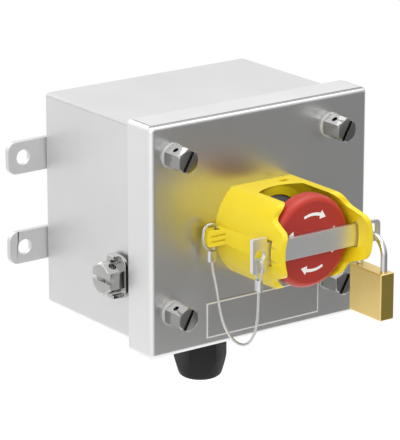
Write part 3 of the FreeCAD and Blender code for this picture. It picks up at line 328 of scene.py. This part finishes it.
def eased(node, finish, edge, crisp=None):  # a copy of the node, its edges eased except where they are crisp
    bm = opened(frame["nodes"][node].data)
    bmesh.ops.remove_doubles(bm, verts=bm.verts, dist=easing["merge"])
    bmesh.ops.dissolve_limit(bm, angle_limit=math.radians(easing["flat"]), verts=bm.verts, edges=bm.edges)
    weight = bm.edges.layers.float.new("bevel_weight_edge")
    for line in bm.edges:
        middle = (line.verts[0].co + line.verts[1].co) / 2
        turns = line.is_manifold and line.calc_face_angle(0) > math.radians(easing["sharp"])
        line[weight] = float(turns and not (crisp and crisp(middle)))
    mesh = saved(bm, bpy.data.meshes.new(node + "_eased"))
    piece = finished(node + "_eased", mesh, finish, bodyOf(node))
    if edge:
        bevel = piece.modifiers.new("edges", "BEVEL")
        bevel.width = edge * mm
        bevel.segments = easing["steps"]
        bevel.limit_method = "WEIGHT"
        bevel.use_clamp_overlap = True
        bevel.harden_normals = True
    else:
        flats = piece.modifiers.new("flats", "WEIGHTED_NORMAL")  # large flats stay flat beside their bends
        flats.keep_sharp = True
        flats.weight = easing["flatWeight"]
    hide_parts(node)
    return piece


def faceFinish(piece, index, chosen):  # another of the piece's finishes for the chosen faces
    for face in piece.data.polygons:
        if chosen(face.normal, face.center):
            face.material_index = index


def ahead(depth):  # chooses the faces that look forward, from this depth on
    return lambda way, at: way.y < -easing["forward"] and at.y < lidFace - (depth - easing["slack"]) * mm


easedNodes = {
    "lock_bar": ("barSteel", 0.18),
    "padlock_shackle": ("shackleChrome", 0.0),
    "padlock_plug": ("caseBrass", 0.1),
    "lug_upper_left": ("boxSteel", 0.2),
    "lug_lower_left": ("boxSteel", 0.2),
    "lug_upper_right": ("boxSteel", 0.2),
    "lug_lower_right": ("boxSteel", 0.2),
    "gland_nut": ("glandBlack", 0.3),
    "gland_body": ("glandBlack", 0.2),
    "earth_washer": ("platedSteel", 0.15),
    "boss_ferrule": ("ferruleAlloy", 0.2),
    "tab_ferrule": ("ferruleAlloy", 0.2),
}
for node, (finish, edge) in easedNodes.items():
    eased(node, finish, edge)
print("pieces with eased edges:", len(easedNodes))

box = {"foldFrom": 0.15, "foldTo": 0.97}
shell = eased("enclosure_body", ["boxSteel", "foldPaintedShade"], 0.0)
faceFinish(shell, 1, lambda way, at: box["foldFrom"] < way.z < box["foldTo"])  # the upper folds are rougher and painted darker, a painted shade
print("enclosure body")

lid = {"bendFrom": 0.75, "bendTo": 0.999}  # the upper bend is painted dark between these slopes, a painted shade standing in for a dark reflection
tray = eased("lid", ["lipSteel", "lidSteel", "bendPaintedShade"], 0.0)
faceFinish(tray, 1, ahead(0))  # the face is polished and painted darker than its lips, a painted shade; the lips are dull
faceFinish(tray, 2, lambda way, at: way.y < 0 and lid["bendFrom"] < way.z < lid["bendTo"])
print("lid")

case = {"narrow": 0.9}
lockCase = eased("padlock_case", ["caseBrass", "caseEndPaintedShade"], 0.0)
faceFinish(lockCase, 1, lambda way, at: abs(way.y) > case["narrow"])  # the narrow ends are rougher and painted darker, a painted shade
print("padlock case")

label = {"edge": 0.2, "rim": 0.5}
plate = eased("label_plate", ["labelSteel", "labelRimPaintedHighlight"], label["edge"])
bm = opened(plate.data)
front = [face for face in bm.faces if face.normal.y < -easing["forward"]]
# the inset rim strip and the bevelled edge get the painted highlight
rim = bmesh.ops.inset_region(bm, faces=front, thickness=label["rim"] * mm, use_even_offset=True)
for face in rim["faces"]:
    face.material_index = 1
saved(bm, plate.data)
plate.modifiers["edges"].material = 1
print("label plate, left bare")

spring = eased("return_spring", "springWire", 0.0)
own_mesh(spring)
print("return spring")

keptNodes = {
    "corner_bushes": "screwSteel", "lid_gasket": "sealRubber", "screw_washers": "washerGrey",
    "screw_retainers": "contactGrey", "actuator_seal": "sealRubber", "ring_nut": "collarBlack",
    "stem": "collarBlack", "contact_carrier": "contactGrey",
    "contact_block_left": "contactGrey", "contact_block_right": "contactGrey", "contact_pins": "contactGrey",
    "terminal_screws": "platedSteel", "earth_inner_washer": "platedSteel", "earth_nut": "platedSteel",
    "gland_washer": "sealRubber", "gland_seal": "sealRubber", "gland_locknut": "glandBlack",
}
for node, finish in keptNodes.items():
    data = frame["nodes"][node].data
    data.materials.clear()
    data.materials.append(finishes[finish])
print("nodes kept with a finish:", len(keptNodes))

waist = {"edge": 0.15, "depth": 8.9, "step": 0.1, "inner": 15, "outer": 17.2, "neck": 14.8}
collar = eased("collar", "collarBlack", waist["edge"])
bm = opened(collar.data)
for depth in (waist["depth"], waist["depth"] + waist["step"]):
    cut(bm, spot(0, depth, 0), (0, -1, 0))
neckStart = spot(0, waist["depth"] + waist["step"] / 2, 0).y
neck = [vertex for vertex in bm.verts if vertex.co.y < neckStart
        and Vector((vertex.co.x, vertex.co.z)).length > waist["inner"] * mm]
narrower = waist["neck"] / waist["outer"]
bmesh.ops.scale(bm, verts=neck, vec=(narrower, 1, narrower))
saved(bm, collar.data)
print("collar")

shroud = {"edge": 0.3, "bossFrom": -25.2, "bossHalf": 4}
eased("shroud", "shroudYellow", shroud["edge"],  # the boss's grooves stay crisp
      crisp=lambda at: at.x < shroud["bossFrom"] * mm and abs(at.z) < shroud["bossHalf"] * mm)
print("shroud")

screw = {"edge": 0.15, "depth": 2, "upper": 0.3, "side": 0.1, "slot": 3}  # upper flats get a painted highlight, the other flats a painted shade
for node in ("earth_screw", "earth_clamp"):
    piece = eased(node, ["platedSteel", "screwPaintedHighlight"], screw["edge"])
    # the upper faces get the painted highlight
    faceFinish(piece, 1, lambda way, at: way.z > screw["upper"])
print("earth terminal")

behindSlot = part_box("lid_screws")[0].y + screw["slot"] * mm
screws = eased("lid_screws", ["screwSteel", "screwFacePaintedShade", "screwPaintedHighlight"], screw["edge"])
# the forward faces are painted dark, a painted shade
faceFinish(screws, 1, ahead(screw["depth"]))
# the upper flats get the painted highlight
faceFinish(screws, 2, lambda way, at: at.y > behindSlot and way.z > screw["upper"]
           and abs(way.y) < screw["side"])
print("lid screws")


# button

def turned(name, profile, steps):  # spin a profile of (radius, depth) about the button's axis
    bm = bmesh.new()
    edge = [bm.verts.new(spot(radius, depth, 0)) for radius, depth in profile]
    for first, second in zip(edge, edge[1:]):
        bm.edges.new((first, second))
    bmesh.ops.spin(bm, geom=bm.verts[:] + bm.edges[:], cent=spot(0, 0, 0), axis=(0, 1, 0),
                   angle=math.tau, steps=steps, use_merge=True)
    bmesh.ops.remove_doubles(bm, verts=bm.verts, dist=easing["spinMerge"])
    bmesh.ops.recalc_face_normals(bm, faces=bm.faces)
    return saved(bm, bpy.data.meshes.new(name))


head = {
    "radius": 21.0, "back": 29.5, "front": 37.0, "taper": 0.8, "rim": 3.2, "rimSteps": 8,
    "socket": 7.6, "socketDepth": 3.9, "steps": 96,
}
rimBend = []
for step in range(head["rimSteps"] + 1):
    turn = math.pi / 2 * step / head["rimSteps"]
    rimBend.append((head["radius"] - head["rim"] * (1 - math.sin(turn)),
                    head["front"] - head["rim"] * (1 - math.cos(turn))))
profile = [(0, head["front"]), *rimBend, (head["radius"], head["back"] + head["taper"]),
           (head["radius"] - 2 * head["taper"], head["back"]), (head["socket"], head["back"]),
           (head["socket"], head["back"] + head["socketDepth"]), (0, head["back"] + head["socketDepth"])]
mushroom = finished("mushroom_head", turned("mushroom_head", profile, head["steps"]),
                    ["headRed", "headRedFace"], "head", easing["turnedSharp"])
faceFinish(mushroom, 1, ahead(head["front"]))
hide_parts("red_head")
print("mushroom head")

dish = {
    "lip": 15.2, "lipBack": 9.3, "bore": 17.9, "back": 9.98, "outer": 23.02, "front": 14.3, "foot": 19.2,
    "floor": 10.3, "flat": 19.4, "steps": 120,
}
corners = [("lip", "lipBack"), ("bore", "lipBack"), ("bore", "back"), ("outer", "back"), ("outer", "front"),
           ("foot", "floor"), ("lip", "floor"), ("lip", "lipBack")]
ring = turned("shroud_dish", [(dish[radius], dish[depth]) for radius, depth in corners], dish["steps"])
bm = opened(ring)
for side in (1, -1):  # cut flush with the shroud's two flats
    cut(bm, (0, 0, side * dish["flat"] * mm), (0, 0, side), clear=True)
bmesh.ops.holes_fill(bm, edges=[line for line in bm.edges if line.is_boundary])
bmesh.ops.recalc_face_normals(bm, faces=bm.faces)
finished("shroud_dish", saved(bm, ring), "shroudYellow", "station", easing["turnedSharp"])
print("dished floor inside the shroud")

arrows = {
    "radius": 12.7, "tail": 1.1, "neck": 1.5, "headWidth": 4.0, "headSpan": 15, "flare": 1, "tip": 0.02,
    "height": 0.06, "merge": 0.1, "steps": 12,
    "upper": (112, 56), "lower": (-64, -120), "left": (204, 148), "right": (24, -32),
}


def aroundButton(bm, points, turn):
    bmesh.ops.rotate(bm, verts=points, cent=spot(0, 0, 0), matrix=Matrix.Rotation(math.radians(turn), 3, "Y"))


def grown(bm, edge, turn, share):  # draws the edge out round the button, and widens it
    fresh = bmesh.ops.extrude_edge_only(bm, edges=[edge])["geom"]
    lines = [item for item in fresh if isinstance(item, bmesh.types.BMEdge)]
    ends = vertsOf(fresh)
    middle = (ends[0].co + ends[1].co) / 2
    bmesh.ops.scale(bm, verts=ends, vec=(share, 1, share), space=Matrix.Translation(-middle))
    aroundButton(bm, ends, turn)
    return next(line for line in lines if set(line.verts) == set(ends))


def arrowPiece(name, start, end):
    bm = bmesh.new()
    tail = [spot(arrows["radius"] + side * arrows["tail"] / 2, head["front"], 0) for side in (-1, 1)]
    row = bm.edges.new([bm.verts.new(corner) for corner in tail])
    turn = (start - end - arrows["headSpan"]) / arrows["steps"]
    share = (arrows["neck"] / arrows["tail"]) ** (1 / arrows["steps"])
    for _ in range(arrows["steps"]):
        row = grown(bm, row, turn, share)
    row = grown(bm, row, arrows["flare"], arrows["headWidth"] / arrows["neck"])
    grown(bm, row, arrows["headSpan"] - arrows["flare"], arrows["tip"])
    bmesh.ops.remove_doubles(bm, verts=bm.verts, dist=arrows["merge"] * mm)
    aroundButton(bm, bm.verts, -start)
    raised = bmesh.ops.extrude_face_region(bm, geom=bm.faces[:], use_keep_orig=True)
    bmesh.ops.translate(bm, verts=vertsOf(raised["geom"]), vec=(0, -arrows["height"] * mm, 0))
    bmesh.ops.recalc_face_normals(bm, faces=bm.faces)
    return finished(name, saved(bm, bpy.data.meshes.new(name)), "arrowWhite", "head")


for side in ("upper", "lower", "left", "right"):
    arrowPiece("arrow_" + side, *arrows[side])
print("arrows")


# lanyard

rope = {
    "diameter": 1.3, "strands": 6, "strand": 0.215, "lay": 7.5, "steps": 20, "order": 3, "roundness": 1,
    "boss": [(-30.25, 5.4, -6.0), (-28.9, 5.4, -3.3), (-28.1, 5.4, 0.9), (-29.22, 5.4, 5.88),
             (-34.98, 5.4, 5.88), (-36.1, 5.4, 0.9), (-35.3, 5.4, -3.3), (-32.15, 5.4, -6.0)],
    "hang": [(-31.2, 5.4, -11.0), (-31.0, 5.8, -15.2), (-30.4, 7.2, -20.8), (-30.3, 8.7, -27.0),
             (-30.3, 10.4, -33.2), (-30.4, 13.6, -39.0), (-30.4, 18.8, -43.1), (-30.4, 24.9, -44.4),
             (-30.4, 30.6, -42.7), (-30.5, 34.9, -38.2), (-30.5, 37.2, -32.4), (-30.5, 38.1, -26.4),
             (-30.5, 38.3, -20.9), (-30.5, 38.4, -16.0)],
    "tab": [(-30.5, 37.45, -11.0), (-30.5, 36.08, -7.83), (-30.5, 35.5, -3.95), (-30.5, 36.31, -1.86),
            (-30.5, 40.49, -1.86), (-30.5, 41.3, -3.95), (-30.5, 40.72, -7.83), (-30.5, 39.35, -11.0)],
}


def curveMesh(name, splines, kind, bevel=0.0):
    data = bpy.data.curves.new(name, "CURVE")
    data.dimensions = "3D"
    data.resolution_u = rope["steps"]
    for points in splines:
        spline = data.splines.new(kind)
        spline.points.add(len(points) - 1)
        for point, where in zip(spline.points, points):
            point.co = (*where, 1)
        if kind == "NURBS":
            spline.order_u = rope["order"]
            spline.use_endpoint_u = True
    data.bevel_depth = bevel
    data.bevel_resolution = rope["roundness"]
    data.use_fill_caps = True
    holder = placed(name, data)
    bpy.context.view_layer.update()
    mesh = bpy.data.meshes.new_from_object(holder.evaluated_get(bpy.context.evaluated_depsgraph_get()))
    bpy.data.objects.remove(holder)
    return mesh


def centreLine(points):  # the smooth curve's own points
    mesh = curveMesh("route", [[spot(*point) for point in points]], "NURBS")
    line = [vertex.co.copy() for vertex in mesh.vertices]
    bpy.data.meshes.remove(mesh)
    return line


def strandLines(line):  # the strands wind round the middle one
    side = (line[1] - line[0]).orthogonal().normalized()
    gone = 0.0
    rows = [[] for _ in range(rope["strands"])]
    reach = rope["diameter"] / 2 - rope["strand"]
    for index, here in enumerate(line):
        before = line[max(index - 1, 0)]
        after = line[min(index + 1, len(line) - 1)]
        along = (after - before).normalized()
        side = (side - along * side.dot(along)).normalized()
        across = along.cross(side)
        if index:
            gone += (here - line[index - 1]).length
        for number, row in enumerate(rows):
            turn = math.tau * (number / rope["strands"] + gone / (rope["lay"] * mm))
            row.append(here + (side * math.cos(turn) + across * math.sin(turn)) * reach * mm)
    return rows


def ropePiece(name, points, body, node):
    line = centreLine(points)
    mesh = curveMesh(name, strandLines(line) + [line], "POLY", rope["strand"] * mm)
    mesh.name = name
    piece = finished(name, mesh, "ropeWire", body, easing["wireSharp"])
    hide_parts(node)
    length = sum((second - first).length for first, second in zip(line, line[1:]))
    return piece, line, length


bossLoop = ropePiece("boss_loop", rope["boss"], "station", "boss_eye")[0]
tabLoop = ropePiece("tab_loop", rope["tab"], "bar", "tab_eye")[0]
hanging, line, length = ropePiece("hanging_rope", rope["hang"], None, "lanyard_rope")
spot(-30.5, 8, -20)
spot(-30.5, 37, -20)
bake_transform(hanging)
rope["diameter"] * mm
print("lanyard, mm:", round(length / mm, 1))


# stage, lights and camera

stage = {
    "floorLevel": -0.165, "floorMiddle": -0.05, "floorRadius": 0.22, "floorSides": 96,
    "floorColour": (0.86, 0.86, 0.86, 1), "floorLift": 0.3, "white": (1, 1, 1, 1),
    "ambient": 0.72, "dim": 0.3, "dimFrom": -0.8, "dimTo": -0.15, "dimLean": (-0.5, 0.55, 0.5),
    "target": (0, -0.07, 0),
    "lamps": {
        "leftFront": {"at": (-0.85, -0.75, 0.42), "size": 0.9, "power": 5},
        "above": {"at": (0.15, -0.25, 0.95), "size": 0.9, "power": 6},
        "back": {"at": (-0.2, 0.9, 0.45), "size": 0.8, "power": 2},
    },
}


def shown(tree):  # 1 for rays from the camera, off metal and through glass
    rays = tree.nodes.new("ShaderNodeLightPath")
    camera, glossy, through = (Wire(tree, rays.outputs[name]) for name in
                               ("Is Camera Ray", "Is Glossy Ray", "Is Transmission Ray"))
    return (camera + glossy + through).clipped()


bm = bmesh.new()
bmesh.ops.create_circle(bm, cap_ends=True, segments=stage["floorSides"], radius=stage["floorRadius"])
bmesh.ops.translate(bm, verts=bm.verts, vec=(0, stage["floorMiddle"], stage["floorLevel"]))
floor = placed("floor", saved(bm, bpy.data.meshes.new("floor")))
paper = Finish("floorPaper")
diffuse = paper.node("ShaderNodeBsdfDiffuse", Color=stage["floorColour"])
glow = paper.node("ShaderNodeEmission", Strength=shown(paper.tree) * stage["floorLift"])
both = paper.node("ShaderNodeAddShader", i0=diffuse, i1=glow)
feed(paper.tree, both, paper.tree.nodes["Material Output"].inputs["Surface"])
floor.data.materials.append(paper.material)

world = bpy.data.worlds.new("studio")
bpy.context.scene.world = world
world.use_nodes = True
tree = world.node_tree
tree.nodes.clear()
ambient = tree.nodes.new("ShaderNodeBackground")
backdrop = tree.nodes.new("ShaderNodeBackground")
choice = tree.nodes.new("ShaderNodeMixShader")
result = tree.nodes.new("ShaderNodeOutputWorld")
direction = tree.nodes.new("ShaderNodeTexCoord")
parts = tree.nodes.new("ShaderNodeSeparateXYZ")
tree.links.new(direction.outputs["Generated"], parts.inputs[0])
east, north, up = (Wire(tree, part) * share for part, share in zip(parts.outputs, stage["dimLean"]))
lean = east + north + up
rise = ((lean - stage["dimFrom"]) * (1 / (stage["dimTo"] - stage["dimFrom"]))).clipped()
seen = tree.nodes.new("ShaderNodeLightPath")
white = rise * (1 - stage["dim"]) + stage["dim"]  # towards the front right, metal sees a grey studio wall
white = (white + Wire(tree, seen.outputs["Is Camera Ray"])).clipped()
for background in (ambient, backdrop):
    background.inputs["Color"].default_value = stage["white"]
feed(tree, stage["ambient"], ambient.inputs["Strength"])
feed(tree, white, backdrop.inputs["Strength"])
feed(tree, shown(tree), choice.inputs[0])
tree.links.new(ambient.outputs[0], choice.inputs[1])
tree.links.new(backdrop.outputs[0], choice.inputs[2])
tree.links.new(choice.outputs[0], result.inputs["Surface"])

for name, settings in stage["lamps"].items():
    lamp = bpy.data.lights.new(name, "AREA")
    lamp.size = settings["size"]
    lamp.energy = settings["power"]
    holder = placed(name, lamp)
    holder.location = settings["at"]
    aim = Vector(stage["target"]) - Vector(settings["at"])
    holder.rotation_euler = aim.to_track_quat("-Z", "Y").to_euler()

eye = {
    "at": (-0.7433, -1.0632, 0.3742), "looks": (0.56395, 0.77256, -0.29174), "lens": 235.3,
    "sensor": 36, "near": 0.05,
}
camera = bpy.data.cameras.new("camera")
camera.sensor_fit = "AUTO"
camera.sensor_width = eye["sensor"]
camera.lens = eye["lens"]
camera.clip_start = eye["near"]
holder = placed("camera", camera)
holder.location = eye["at"]
holder.rotation_euler = Vector(eye["looks"]).to_track_quat("-Z", "Y").to_euler()
bpy.context.scene.camera = holder
bpy.context.scene.view_settings.view_transform = "Standard"
print("stage and camera")
